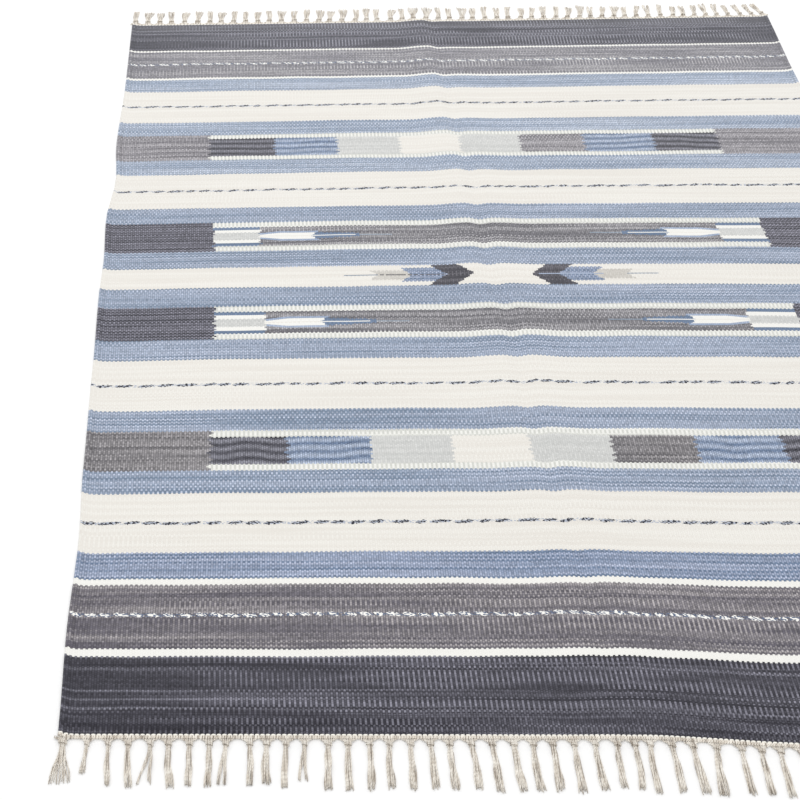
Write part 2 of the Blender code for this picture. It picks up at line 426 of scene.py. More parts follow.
arrows = {
    "middle": -0.009,
    "line": 1.243,
    "tip": 0.061,
    "darkLong": 0.058,
    "blueLong": 0.073,
    "paleLong": 0.073,
    "darkHalf": 0.040,
    "blueHalf": 0.026,
    "paleHalf": 0.017,
    "thinReach": 0.335,
    "thinHalf": 0.0017,
    "dash": 0.012,
    "dashShare": 0.8,
    "band": (1.2045, 1.278),  # the cream band that they keep to
    "paleLineFrom": 0.075,
    "paleLineTo": 0.215,
}

# lines of a thick two-colour twist: from where it is the nearest, along, white rather than dark, turn
twistLines = [
    (0.00, 0.257, 1.0, 0.0),
    (0.36, 0.482, 0.0, 0.3),
    (0.68, 0.876, 0.0, 0.6),
    (1.20, 1.586, 0.0, 0.1),
    (1.77, 1.969, 0.0, 0.5),
    (2.07, 2.184, 1.0, 0.8),
]
twistForm = {
    "darkPitch": 0.037,
    "whitePitch": 0.025,
    "half": 0.0049,
    "slant": 0.0045,
    "sway": 0.004,
    "drift": 1.6,  # how unevenly the turns follow each other
    "clumpShare": (0.68, 0.94),  # how much of a turn its clump takes
    "clumpTaper": (0.25, 0.52),  # it thins out this far from its middle
    "strandCut": (0.40, 0.62),  # the strands open up from its middle to its rim
    "gapHalf": 0.75,  # the ply in the gaps is this much thinner, and weaker
    "gapShow": 0.75,
    "gapCut": 0.44,
    "strandsAcross": 330.0,  # how fine the two plies show, in steps per rug width and length
    "strandsAlong": 900.0,
    "strandsLean": 120.0,
    "dark": ("2c2f3c", "9aa6bd"),
    "white": ("fbfaf5", "5f7290"),
}

# how light and dark threads take turns near both ends: from the end, share of ticks, dots and lines
turnZones = [
    (0.000, 0.0, 0.0, 0.0),
    (0.004, 0.75, 0.0, 0.0),
    (0.014, 0.0, 0.5, 0.0),
    (0.018, 0.85, 0.0, 0.0),
    (0.031, 0.0, 0.0, 0.3),
    (0.036, 0.0, 0.0, 0.7),
    (0.040, 0.0, 0.7, 0.0),
    (0.048, 0.0, 0.0, 0.0),
    (0.054, 0.9, 0.0, 0.0),
    (0.068, 0.0, 0.0, 0.0),
    (0.072, 0.0, 0.0, 0.8),
    (0.076, 0.0, 0.7, 0.0),
    (0.086, 0.0, 0.1, 0.0),
    (0.090, 0.82, 0.18, 0.0),
    (0.132, 0.0, 0.0, 0.5),
    (0.137, 0.0, 0.6, 0.0),
    (0.143, 0.0, 0.0, 0.0),
    (0.147, 0.75, 0.25, 0.0),
    (0.158, 0.0, 0.0, 0.0),
    (0.179, 0.2, 0.0, 0.8),
    (0.195, 0.0, 0.45, 0.0),
    (0.204, 0.0, 0.0, 0.1),
    (0.209, 0.45, 0.2, 0.0),
    (0.222, 0.9, 0.0, 0.0),
    (0.249, 0.0, 0.2, 0.0),
    (0.266, 0.2, 0.0, 0.0),
    (0.276, 0.8, 0.0, 0.0),
    (0.291, 0.0, 0.3, 0.0),
    (0.296, 0.0, 0.9, 0.0),
    (0.304, 0.0, 0.0, 0.2),
    (0.311, 0.0, 0.8, 0.0),
    (0.320, 0.0, 0.0, 0.0),
]
turnForm = {
    "fromLeft": (0.02, 0.20),  # the zones fade out towards a selvedge, by share of the width
    "fromRight": (0.99, 0.93),
    "fromRightLow": 0.2,
    "patchCut": (0.34, 0.54),  # and in patches
    "patchLow": 0.2,
    "dotEvery": 3.0,  # picks from one light one to the next
    "lineEvery": 4.0,
    "countFrom": 600.0,  # a multiple of both that keeps the counts above nothing
    "mixCut": (0.66, 1.04),  # how mixed light and dark threads are
    "groups": 0.8,
    "threads": 0.9,
    "mixLeft": 0.15,  # what is left of the mix where a turn pattern shows
    "latticeCut": (0.42, 0.54),
    "knots": (0.60, 0.45),  # how much knots and mix count
    "streaks": (0.80, 0.25),  # how much streaks and mix count
    "flankShadeCut": (0.30, 0.48),  # painted shade: a light float darkens towards the flanks of its rib, so it looks narrower than its warp
    "flankShadeLow": 0.35,
}
shadeForm = {
    "ribFall": 4.0,  # how steeply a float falls off across and along
    "floatFall": 3.4,
    "valley": 0.45,  # how high up a float is neither lit nor shaded
    "grain": 0.50,  # how far single floats differ
    "slub": 0.07,
    "drift": 0.16,  # how far a dye lot drifts, and how far in the palest yarns
    "driftLeast": 0.02,
    # how dark the painted shade of the selvedge groove is
    "groove": 0.24,
    "bumpSlub": 0.25,
}
farSheen = {"from": 0.25, "share": 0.094, "to": "a6a6a8"}  # painted sheen: greyer towards the far end, the dark yarns lighter, where the light grazes the cloth


def lozengeKey(row, acrossWarp, along, alongPick, ragged):
    form = lozengeForm
    rowHalf = (row["high"] - row["low"]) / 2
    inside = rowHalf - form["tickedLine"]
    away = apart(acrossWarp, row["middle"])
    rise = apart(alongPick, row["low"] + rowHalf)
    smoothRise = apart(along, row["low"] + rowHalf)
    rough = scaled(ragged, form["ragged"], away)
    # a blue streak with a white thread narrows inwards to a tip and goes on as a thin tail
    streakEnd = row["streak"] + form["streakLong"]
    narrowing = stretch(away, row["streak"], streakEnd, form["streakTip"], form["streakHalf"])
    inStreak = times(below(rise, narrowing), above(away, row["streak"]))
    key = dye(yarnKey("lozengeGrey"), inStreak, "lineBlue")
    inTail = between(away, row["streak"] - form["tailLong"], row["streak"])
    key = dye(key, times(inTail, below(smoothRise, form["tailHalf"])), "greyLine")
    inThread = above(away, row["streak"] + form["threadFrom"])
    key = dye(key, times(inThread, below(smoothRise, form["threadHalf"])), "white")
    # a cream core between soft blue borders, forked where it starts
    forked = scaled(rise, form["coreFork"], away)
    taperFrom = row["pale"] - form["coreTaper"]
    coreHalf = stretch(away, taperFrom, row["pale"], form["coreHalf"], form["coreTip"])
    border = plus(coreHalf, form["coreBlue"])
    core = dye(yarnKey("lozengeGrey"), below(smoothRise, border), "softBlue")
    core = dye(core, below(smoothRise, coreHalf), "white")
    core = dye(core, below(smoothRise, form["warmHalf"]), "cream")
    key = blendValue(above(forked, row["core"]), key, core)
    # pale between white rims and blue lines
    pale = dye(yarnKey("lineBlue"), below(smoothRise, inside - form["blueLine"]), "white")
    pale = dye(pale, below(rise, form["paleHalf"]), "pale")
    key = blendValue(above(rough, row["pale"]), key, pale)
    key = dye(key, above(rise, inside), "ticked")
    return dye(key, above(rough, row["edge"]), "edgeDark")


def arrowKey(key, acrossWarp, along, alongPick):
    offset = minus(acrossWarp, arrows["middle"])
    away = sizeOf(offset)
    rise = apart(alongPick, arrows["line"])
    smoothRise = apart(along, arrows["line"])
    back = minus(away, rise)
    darkEnd = arrows["tip"] + arrows["darkLong"]
    blueEnd = darkEnd + arrows["blueLong"]
    paleEnd = blueEnd + arrows["paleLong"]
    onLeft = below(offset, 0.0)
    onRight = minus(1.0, onLeft)
    dashes = below(fractOf(divided(away, arrows["dash"])), arrows["dashShare"])
    darkDashes = times(times(dashes, onLeft), between(away, darkEnd, paleEnd))
    paleDashes = times(onRight, between(away, arrows["paleLineFrom"], arrows["paleLineTo"]))
    parts = [
        (between(back, arrows["tip"], darkEnd), rise, arrows["darkHalf"], "arrowDark"),
        (between(back, darkEnd, blueEnd), rise, arrows["blueHalf"], "nearBlue"),
        (between(back, blueEnd, paleEnd), rise, arrows["paleHalf"], "arrowPale"),
        (between(away, paleEnd, arrows["thinReach"]), smoothRise, arrows["thinHalf"], "greyLine"),
        (darkDashes, smoothRise, arrows["thinHalf"], "arrowDark"),
        (paleDashes, smoothRise, arrows["thinHalf"], "softBlue"),
    ]
    inBand = between(alongPick, *arrows["band"])
    for mask, height, halfHeight, name in parts:
        mask = times(mask, below(height, halfHeight))
        key = dye(key, times(mask, inBand), name)
    return key


def laidTwist(u, v, along, colour):
    # clumps of one ply over thin stretches of the other, each a little slanted and in strands
    form = twistForm
    line, isWhite, start = readSteps(along, twistLines)
    # each line reads noise of its own
    sway = noiseAt(u, 26.0, line, 40.0)
    drift = noiseAt(u, 14.0, plus(line, 0.14), 50.0, 1.0)
    pitch = blendValue(isWhite, form["darkPitch"], form["whitePitch"])
    turn = divided(times(u, cloth["width"]), pitch)
    turn = scaled(drift, form["drift"], plus(turn, start))
    within = fractOf(turn)
    share = stretch(cellNoise(wholeOf(turn), line), 0.0, 1.0, *form["clumpShare"])
    offset = minus(scaled(minus(sway, 0.5), form["sway"], along), line)
    place = minus(divided(within, share), 0.5)
    slant = blendValue(isWhite, form["slant"], -form["slant"])
    clumpOffset = apart(offset, times(place, slant))
    half = stretch(sizeOf(place), *form["clumpTaper"], form["half"], 0.0)
    leaning = scaled(u, form["strandsLean"], times(v, form["strandsAlong"]))
    strands = noiseAt(u, form["strandsAcross"], leaning, 1.0)
    inClump = below(clumpOffset, half)
    fromMiddle = divided(clumpOffset, form["half"])
    thick = stretch(fromMiddle, 0.0, 1.0, *form["strandCut"])
    dash = times(inClump, above(strands, thick))
    near = below(sizeOf(offset), form["half"] * form["gapHalf"])
    gap = times(near, below(strands, form["gapCut"]))
    overPly, underPly = [
        blendColour(isWhite, linear(darkYarn), linear(whiteYarn))
        for darkYarn, whiteYarn in zip(form["dark"], form["white"])
    ]
    colour = blendColour(times(gap, form["gapShow"]), colour, underPly)
    return blendColour(dash, colour, overPly)


def findThreads():
    # which warp, and which pick shows there: picks go over every other warp
    width, length, pick, warps = cloth["width"], cloth["length"], cloth["pick"], cloth["warps"]
    u, v, _ = splitUp(addNode("ShaderNodeUVMap", uv_map="OFBake").outputs[0])
    warp = times(u, warps)
    warpIndex = wholeOf(warp)
    parity = modulo(warpIndex, 2.0)
    wander = noiseAt(u, 11.0, v, 17.0, 1.0)
    along = scaled(minus(wander, 0.5), cloth["wander"], times(v, length))
    halfPick = divided(plus(divided(along, pick), parity), 2.0)
    pickIndex = scaled(wholeOf(halfPick), 2.0, times(parity, -1.0))
    return dict(
        u=u, v=v, along=along, parity=parity, warpIndex=warpIndex, pickIndex=pickIndex,
        acrossWarp=scaled(warpIndex, width / warps, width / warps / 2 - width / 2),
        alongPick=times(plus(pickIndex, 1.0), pick),
        inRib=minus(fractOf(warp), 0.5),
        inFloat=minus(fractOf(halfPick), 0.5),
    )


def blockKey(at, row, key, streaks):
    # blocks side by side, joined in teeth
    form = blockForm
    innerLow = row["low"] + form["tickedLine"]
    innerHigh = row["high"] - form["tickedLine"]
    period = (innerHigh - innerLow) / form["teeth"]
    turn = divided(minus(at["alongPick"], innerLow), period)
    wave = pingPong(times(turn, 2.0), 1.0)
    shift = scaled(wave, form["toothDepth"], -form["toothDepth"] / 2)
    bow = noiseAt(at["u"], 22.0, row["low"], 9.0)
    streak = pingPong(scaled(turn, form["streaks"] / form["teeth"], bow), 0.5)
    streak = stretch(streak, *form["streakCut"])
    shifted = plus(at["acrossWarp"], shift)
    beside = yarnKey(row["beside"])
    keys = [beside] + [yarnKey(name) if name else beside for name in blockYarns]
    inner = readSteps(shifted, list(zip((-cloth["width"] / 2,) + row["starts"], keys)))[0]
    inRow = between(at["alongPick"], row["low"], row["high"])
    inInner = between(at["alongPick"], innerLow, innerHigh)
    inBlocks = between(shifted, row["starts"][0], row["starts"][-1])
    rowKey = dye(beside, inBlocks, "ticked")
    key = blendValue(inRow, key, blendValue(inInner, rowKey, inner))
    return key, blendValue(inRow, streaks, streak)


def layPattern(at):
    alongPick = at["alongPick"]
    key = readSteps(alongPick, [(start, yarnKey(name)) for start, name in bands])[0]
    streaks = 0.0
    for row in blockRows:
        key, streaks = blockKey(at, row, key, streaks)
    ragged = minus(cellNoise(at["pickIndex"], 3.0), 0.5)
    for row in lozengeRows:
        rowKey = lozengeKey(row, at["acrossWarp"], at["along"], alongPick, ragged)
        key = blendValue(between(alongPick, row["low"], row["high"]), key, rowKey)
    return arrowKey(key, at["acrossWarp"], at["along"], alongPick), streaks


def inTickedLines(alongPick):
    # in the ticked lines only the middle picks carry ticks
    inLine = 0.0
    lineHalf = blockForm["tickedLine"] / 2
    for row in blockRows + lozengeRows:
        for middle in (row["low"] + lineHalf, row["high"] - lineHalf):
            inLine = greater(inLine, below(apart(alongPick, middle), blockForm["tickHalf"]))
    return inLine


def showTurns(at):
    # ticks, dots and lines of light threads near both ends
    form = turnForm
    u, pickIndex = at["u"], at["pickIndex"]
    fromEnd = lesser(at["along"], minus(cloth["length"], at["along"]))
    ticks, dots, lines = readSteps(fromEnd, turnZones)
    fade = noiseAt(u, 7.0, pickIndex, 0.07, 1.0)
    fade = stretch(fade, *form["patchCut"], form["patchLow"], 1.0)
    fade = times(fade, stretch(u, *form["fromLeft"]))
    fade = times(fade, stretch(u, *form["fromRight"], form["fromRightLow"], 1.0))
    counted = plus(pickIndex, form["countFrom"])
    dot = below(modulo(counted, form["dotEvery"]), 0.5)
    line = below(modulo(counted, form["lineEvery"]), 1.5)
    threads = noiseAt(u, 5.0, pickIndex, 0.731)
    groups = noiseAt(u, 2.5, pickIndex, 0.23)
    mixed = scaled(groups, form["groups"], times(threads, form["threads"]))
    mixed = stretch(mixed, *form["mixCut"])
    rest = plus(plus(ticks, dots), lines)
    rest = minus(1.0, lesser(rest, 1.0))
    light = times(mixed, scaled(rest, 1.0 - form["mixLeft"], form["mixLeft"]))
    for shown, share in ((at["parity"], ticks), (dot, dots), (line, lines)):
        light = scaled(times(shown, share), fade, light)
    return light, mixed, rest, dot, line


def readShares(key, first):
    # three of the yarns' shares at once, as the channels of a colour
    return splitUp(yarnRamp(key, [list(yarn[first:first + 3]) + [1.0] for yarn in yarns.values()]))


def shareLight(at, key, streaks):
    # how light and dark threads take turns, by the yarn
    form = turnForm
    contrast, ticksHere, streaksHere = readShares(key, 2)
    knotsHere, latticeHere, standOut = readShares(key, 5)
    ticksHere = times(ticksHere, inTickedLines(at["alongPick"]))

    light, mixed, rest, dot, line = showTurns(at)
    # knots in a lattice here, wavy lines there
    region = noiseAt(at["u"], 2.6, at["v"], 24.0)
    lattice = stretch(region, *form["latticeCut"])
    knots = blendValue(times(lattice, latticeHere), line, dot)
    knots = scaled(mixed, form["knots"][1], times(knots, form["knots"][0]))
    light = blendValue(times(knotsHere, rest), light, knots)
    streaky = scaled(mixed, form["streaks"][1], times(streaks, form["streaks"][0]))
    light = blendValue(streaksHere, light, streaky)
    light = blendValue(ticksHere, light, at["parity"])
    # painted shade on the flanks of each rib
    ribFlankShade = stretch(sizeOf(at["inRib"]), *form["flankShadeCut"], 1.0, form["flankShadeLow"])
    return times(times(light, contrast), ribFlankShade), standOut


def shadeFloats(at, standOut):
    # dye lots drift, cotton is slubby, and the floats carry painted shade in the valleys between them and
    # a painted highlight on their tops
    form = shadeForm
    u, v = at["u"], at["v"]
    drift = noiseAt(u, 4.0, v, 30.0, 2.0)
    slub = noiseAt(u, 900.0, v, 1300.0, 1.0)
    grain = minus(cellNoise(at["warpIndex"], at["pickIndex"]), 0.5)
    ribFall = times(times(at["inRib"], at["inRib"]), form["ribFall"])
    floatFall = times(times(at["inFloat"], at["inFloat"]), form["floatFall"])
    hump = times(minus(1.0, ribFall), minus(1.0, floatFall))
    # painted shade in the valleys and a painted highlight on the tops, by how high up a float is
    depth = times(minus(hump, form["valley"]), form["valley"])
    single = scaled(grain, form["grain"], depth)
    drift = times(minus(drift, 0.5), scaled(standOut, form["drift"], form["driftLeast"]))
    shade = scaled(minus(slub, 0.5), form["slub"], plus(drift, 1.0))
    shade = times(shade, scaled(single, standOut, 1.0))
    # painted shade of a groove inside each selvedge, where the weft turns, seen in the darker yarns
    inwards = lesser(u, minus(1.0, u))
    fromGroove = apart(inwards, cloth["grooveAt"])
    groove = times(stretch(fromGroove, 0.0, cloth["grooveHalf"], form["groove"], 0.0), standOut)
    return times(shade, minus(1.0, groove)), scaled(slub, form["bumpSlub"], hump)


def weaveMaterial():
    material, shader = startMaterial("wovenCotton")
    at = findThreads()
    key, streaks = layPattern(at)
    light, standOut = shareLight(at, key, streaks)
    darks, lights = [yarnRamp(key, [linear(yarn[part]) for yarn in yarns.values()]) for part in (0, 1)]
    colour = blendColour(light, darks, lights)
    shade, relief = shadeFloats(at, standOut)
    # the yarns' tone together with the painted shade and highlight of the floats and the selvedge groove
    toneAndShade = addNode("ShaderNodeCombineXYZ")
    feedAll(toneAndShade, {0: shade, 1: shade, 2: shade})
    colour = blendColour(1.0, colour, toneAndShade.outputs[0], "MULTIPLY")
    colour = laidTwist(at["u"], at["v"], at["along"], colour)
    # painted sheen towards the far end
    farShare = stretch(at["v"], farSheen["from"], 1.0, 0.0, farSheen["share"])
    feedAll(shader, {
        "Base Color": blendColour(farShare, colour, linear(farSheen["to"])),
        "Roughness": 0.88,
        "Specular IOR Level": 0.25,
        "Sheen Weight": 0.10,
        "Sheen Roughness": 0.5,
    })
    addBump(shader, relief, strength=0.35, distance=0.0007)
    return material


# Helpers for pieces

def keepMesh(name, bm):
    mesh = bpy.data.meshes.new(name)
    bm.to_mesh(mesh)
    bm.free()
    return mesh


def addObject(name, data):
    added = bpy.data.objects.new(name, data)
    scene.collection.objects.link(added)
    return added


def addShape(bm, shape):
    # joins a mesh to the others and returns its own points
    before = len(bm.verts)
    bm.from_mesh(shape)
    bm.verts.ensure_lookup_table()
    return bm.verts[before:]


def finishPiece(name, bm, material):
    mesh = keepMesh(name, bm)
    mesh.materials.append(material)
    for polygon in mesh.polygons:
        polygon.use_smooth = True
    piece = addObject(name, mesh)
    return piece


def weaveField():
    columns = cloth["warps"] * 2
    rows = cloth["rows"]
    bm = bmesh.new()
    weave = bm.verts.layers.float_vector.new("weave")
    bmesh.ops.create_grid(bm, x_segments=columns, y_segments=rows, size=0.5)
    for vert in bm.verts:
        vert[weave] = (vert.co.x + 0.5, vert.co.y + 0.5, 0.0)
    made = bmesh.ops.extrude_face_region(bm, geom=bm.faces[:])
    for item in made["geom"]:
        if isinstance(item, bmesh.types.BMVert):
            item[weave].z = 1.0

    lastCord = cloth["cordColumns"]
    for vert in bm.verts:
        shareAcross, shareAlong, top = vert[weave]
        column = round(shareAcross * columns)
        along = shareAlong * cloth["length"]
        left, right = sideEdge(along, -1), sideEdge(along, 1)
        across = left + (right - left) * shareAcross
        height = creaseHeight(across, along)
        rib = cloth["ribHeight"] * (column % 2)
        fromSide = min(column, columns - column)
        roll = cloth["cordRoll"][fromSide] if fromSide < 2 else 0.0
        cord = cloth["cordRise"] * math.sin(math.pi * fromSide / lastCord) if fromSide < lastCord else 0.0
        if top > 0.5:
            height += cloth["thickness"] * (1.0 - roll) + cord - cloth["ribHeight"] + rib
        else:
            height += cloth["thickness"] * roll + cloth["ribHeight"] - rib
        lie = lieAlong(across, along)
        if shareAlong in (0.0, 1.0):
            lie += cloth["scallop"] * math.cos(math.pi * column / 2) * (1 if shareAlong else -1)
        vert.co = Vector((across, lie, height)) + rugPlace

    # both faces of a flat weave show the same pattern, and the thin edges read just inside it
    bmesh.ops.recalc_face_normals(bm, faces=bm.faces[:])
    uvMap = bm.loops.layers.uv.new("OFBake")
    inset = 0.004
    for face in bm.faces:
        isEdge = len({loop.vert[weave].z for loop in face.loops}) > 1
        onSide = isEdge and len({round(loop.vert[weave].x * columns) for loop in face.loops}) == 1
        for loop in face.loops:
            shareAcross, shareAlong, top = loop.vert[weave]
            if isEdge and top < 0.5:
                if onSide:
                    shareAcross += inset if shareAcross < 0.5 else -inset
                else:
                    shareAlong += inset if shareAlong < 0.5 else -inset
            loop[uvMap].uv = (shareAcross, shareAlong)
    bm.verts.layers.float_vector.remove(weave)
    piece = finishPiece("wovenField", bm, weaveMaterial())
    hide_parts("woven_field")
    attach(piece, "root")
    print("woven field", len(piece.data.polygons), "faces")
    return piece


# The fringe

fringe = {
    "tassels": 54,
    "cornerInset": 0.009,
    "headingDepth": 0.009,
    "headingHeight": 0.0042,
    "endGap": 0.0008,  # the parting between the cloth and the heading
    "placeSpread": 0.0025,
    "lengthSpread": 0.09,
    "leanSpread": math.radians(3.5),
    "leanStep": math.radians(7),
    "bendSpread": 0.003,
    "restShare": 0.5,  # from this share of its length on a tassel lies on the floor
    "yarns": 7,
    "yarnRadius": 0.00115,
    "radiusSpread": (0.92, 1.08),
    "tipRadius": 0.85,
    "wrapRadius": 1.15,
    "yarnSides": 5,
    "yarnStations": 12,  # points along a yarn
    "shorter": 0.07,  # a yarn may be this share shorter than its tassel
    "wave": (0.0003, 0.0011),  # how far it swings to the sides
    "tilt": (0.0010, 0.0024),  # how far a turn of the knot leans
    "rootHalf": 0.0130,
    "knotFrom": 0.008,
    "knotTo": 0.013,
    "knotHalfWidth": 0.0050,
    "knotHalfHeight": 0.0032,
    "knotTurns": 2,
    "knotPress": 0.55,  # the yarns in the knot keep to this share of its half width
    "tasselHalf": 0.0048,
    "tasselPress": 0.82,
    "splayLoose": (-0.010, 0.008),  # how much more or less a loose tassel spreads
    "lie": (1.05, 2.9),  # the lowest and highest that a yarn lies, in its own radii
    "waves": 120.0,  # its swings sideways, in radians to a metre
    "climbs": 80.0,  # and up and down
    "frayLong": 0.003,
    "frayShare": (0.4, 1.0),
    "frayAside": (-0.3, 0.3),
    "frayLift": (0.7, 1.6),
    "frayThins": (0.72, 0.6, 0.3),
    "tuckedIn": 0.003,  # the yarns start this far inside the heading
    "bunching": 1.45,  # points lie closer together near the knot
    "freeOver": 0.02,  # past its knot a tassel opens up over this length
}

# How the tassels fall, by where they hang across the rug:
# across, off its even place, degrees of lean to the right, length, thickness, spread at the tip,
# where a spread below nothing parts a branch to the left
nearFall = [
    (-0.831, 0.0, 0.0, 0.086, 1.30, 0.011),
    (-0.799, 0.006, -4.5, 0.066, 0.70, 0.0),
    (-0.768, 0.006, 1.0, 0.089, 0.80, 0.0),
    (-0.736, 0.006, 2.3, 0.091, 0.95, 0.001),
    (-0.704, 0.006, -1.5, 0.084, 0.90, -0.012),
    (-0.673, 0.004, 3.9, 0.094, 1.05, 0.001),
    (-0.641, 0.004, 0.5, 0.091, 1.00, 0.0),
    (-0.610, 0.002, -1.5, 0.090, 1.00, 0.0),
    (-0.578, -0.003, -3.4, 0.089, 0.90, -0.005),
    (-0.546, 0.0, -0.9, 0.086, 0.95, 0.0),
    (-0.515, -0.003, -1.0, 0.088, 1.05, 0.002),
    (-0.483, -0.006, -3.1, 0.092, 0.95, 0.0),
    (-0.452, -0.009, -2.3, 0.081, 0.80, -0.006),
    (-0.420, -0.005, -1.7, 0.095, 1.10, 0.0),
    (-0.325, -0.004, -0.3, 0.096, 1.00, 0.001),
    (-0.199, -0.007, 2.5, 0.098, 1.05, 0.001),
    (-0.135, -0.002, 2.0, 0.101, 1.10, 0.001),
    (-0.072, -0.005, 0.3, 0.100, 1.00, 0.002),
    (-0.009, -0.002, 1.2, 0.101, 0.95, 0.002),
    (0.023, 0.001, -2.0, 0.094, 1.00, 0.0),
    (0.086, -0.011, -1.6, 0.103, 1.00, 0.0),
    (0.149, -0.008, 1.9, 0.100, 1.10, 0.002),
    (0.181, -0.002, -4.5, 0.103, 1.10, 0.003),
    (0.212, 0.004, -1.3, 0.095, 1.00, 0.001),
    (0.300, 0.0, 0.0, 0.098, 1.00, 0.001),
    (0.812, 0.0, 0.0, 0.098, 1.00, 0.001),
    (0.845, 0.0, 0.0, 0.096, 1.25, 0.006),
]
farFall = [
    (-0.845, 0.0, -3.0, 0.066, 1.35, 0.006),
    (-0.812, 0.0, 2.0, 0.068, 1.25, 0.003),
    (0.000, 0.0, 4.0, 0.072, 1.25, 0.003),
    (0.350, 0.0, 9.0, 0.072, 1.20, 0.002),
    (0.650, 0.0, 7.0, 0.070, 1.10, 0.001),
    (0.810, 0.0, -10.0, 0.068, 1.00, 0.001),
    (0.842, 0.0, -12.0, 0.066, 1.10, 0.004),
]
fringeEnds = [
    {"name": "fringeNear", "node": "fringe_near", "end": -1,
     "fall": nearFall, "looseness": 0.25, "seed": 11},
    {"name": "fringeFar", "node": "fringe_far", "end": 1,
     "fall": farFall, "looseness": 1.0, "seed": 23},
]
yarnForm = {
    "plies": 2.0,  # they wind round each yarn
    "plyTurns": 15.0,
    "plyGroove": 0.22,
    "slubScale": 60.0,
    "slubCut": (0.35, 0.65),
    "darkAcross": 620.0,  # swells to a metre, so that a yarn keeps its tone along its length
    "darkAlong": 22.0,
    "darkCut": (0.30, 0.46),
    "shade": "e4dcd0",
    # painted shade in the groove between the plies, and how much of it shows
    "light": "faf5ec",
    "groove": "a3988a",
    "plyGrooveShade": 0.25,
    "dark": "9d9082",
    "darkShow": 0.75,
    "knot": "fdfaf2",
}


def cottonMaterial():
    form = yarnForm
    material, shader = startMaterial("rawCottonYarn")
    around, along, _ = splitUp(addNode("ShaderNodeUVMap", uv_map="yarnTurn").outputs[0])
    ply = pingPong(scaled(along, form["plyTurns"], times(around, form["plies"])), 0.5)
    groove = stretch(ply, 0.0, form["plyGroove"])
    spot = addNode("ShaderNodeTexCoord").outputs["Object"]
    slub = addNode("ShaderNodeTexNoise")
    feedAll(slub, {"Scale": form["slubScale"], "Detail": 3.0, "Vector": spot})
    tone = stretch(slub.outputs[0], *form["slubCut"])
    colour = blendColour(tone, linear(form["shade"]), linear(form["light"]))
    # painted shade darkens the groove between the plies
    paintedGrooveShade = stretch(groove, 0.0, 1.0, form["plyGrooveShade"], 0.0)
    colour = blendColour(paintedGrooveShade, colour, linear(form["groove"]))
    # some yarns show their darker side along the whole tassel
    x, y, _ = splitUp(spot)
    strand = noiseAt(x, form["darkAcross"], y, form["darkAlong"])
    isDark = stretch(strand, *form["darkCut"], form["darkShow"], 0.0)
    colour = blendColour(isDark, colour, linear(form["dark"]))
    # the knots along the cloth's edge are whiter
    isKnot = stretch(along, -0.9, -0.1, 1.0, 0.0)
    feedAll(shader, {
        "Base Color": blendColour(isKnot, colour, linear(form["knot"])),
        "Roughness": 0.9,
        "Specular IOR Level": 0.2,
        "Sheen Weight": 0.15,
    })
    addBump(shader, groove, strength=0.7, distance=0.0006)
    return material


def yarnTemplate(sides, stations):
    # a unit tube along Z: its points are moved onto each yarn's path
    bm = bmesh.new()
    bmesh.ops.create_cone(bm, cap_ends=True, cap_tris=False, segments=sides, radius1=1, radius2=1, depth=1)
    upright = [edge for edge in bm.edges if abs(edge.verts[0].co.z - edge.verts[1].co.z) > 0.5]
    bmesh.ops.subdivide_edges(bm, edges=upright, cuts=stations - 2)
    uvMap = bm.loops.layers.uv.new("yarnTurn")
    for face in bm.faces:
        around = [math.atan2(loop.vert.co.y, loop.vert.co.x) / math.tau % 1.0 for loop in face.loops]
        if max(around) - min(around) > 0.5:
            around = [turn + 1.0 if turn < 0.5 else turn for turn in around]
        for loop, turn in zip(face.loops, around):
            loop[uvMap].uv = (turn, loop.vert.co.z + 0.5)
    return keepMesh("yarnTemplate", bm)


def layYarn(bm, template, path, radii):
    stations = len(path) - 1
    frames = []
    for index, point in enumerate(path):
        ahead = path[min(index + 1, stations)] - path[max(index - 1, 0)]
        beside = ahead.cross(Vector((0, 0, 1))).normalized()
        over = beside.cross(ahead).normalized()
        frames.append((point, beside, over))
    for vert in addShape(bm, template):
        station = round((vert.co.z + 0.5) * stations)
        point, beside, over = frames[station]
        vert.co = point + (beside * vert.co.x + over * vert.co.y) * radii[station]


def endAlong(end):
    return 0.0 if end < 0 else cloth["length"]


def layOutTassels(facts, draw):
    along, looseness = endAlong(facts["end"]), facts["looseness"]
    first = sideEdge(along, -1) + fringe["cornerInset"]
    pitch = (sideEdge(along, 1) - fringe["cornerInset"] - first) / (fringe["tassels"] - 1)
    tassels = []
    for index in range(fringe["tassels"]):
        even = first + pitch * index
        inner = 0 < index < fringe["tassels"] - 1
        aside, lean, length, growth, split = [
            readTable(facts["fall"], even, column) for column in range(1, 6)
        ]
        aside += draw.uniform(-fringe["placeSpread"], fringe["placeSpread"]) * looseness
        lean = math.radians(lean)
        lean += draw.uniform(-fringe["leanSpread"], fringe["leanSpread"]) * looseness
        if tassels:
            last = tassels[-1]["lean"]
            lean = min(max(lean, last - fringe["leanStep"]), last + fringe["leanStep"])
        length *= 1.0 + draw.uniform(-fringe["lengthSpread"], fringe["lengthSpread"]) * looseness
        bend = draw.uniform(-fringe["bendSpread"], fringe["bendSpread"])
        place = even + aside if inner else even
        own = dict(place=place, lean=lean, length=length, bend=bend, growth=growth, split=split)
        tassels.append({**facts, **own})
    return tassels


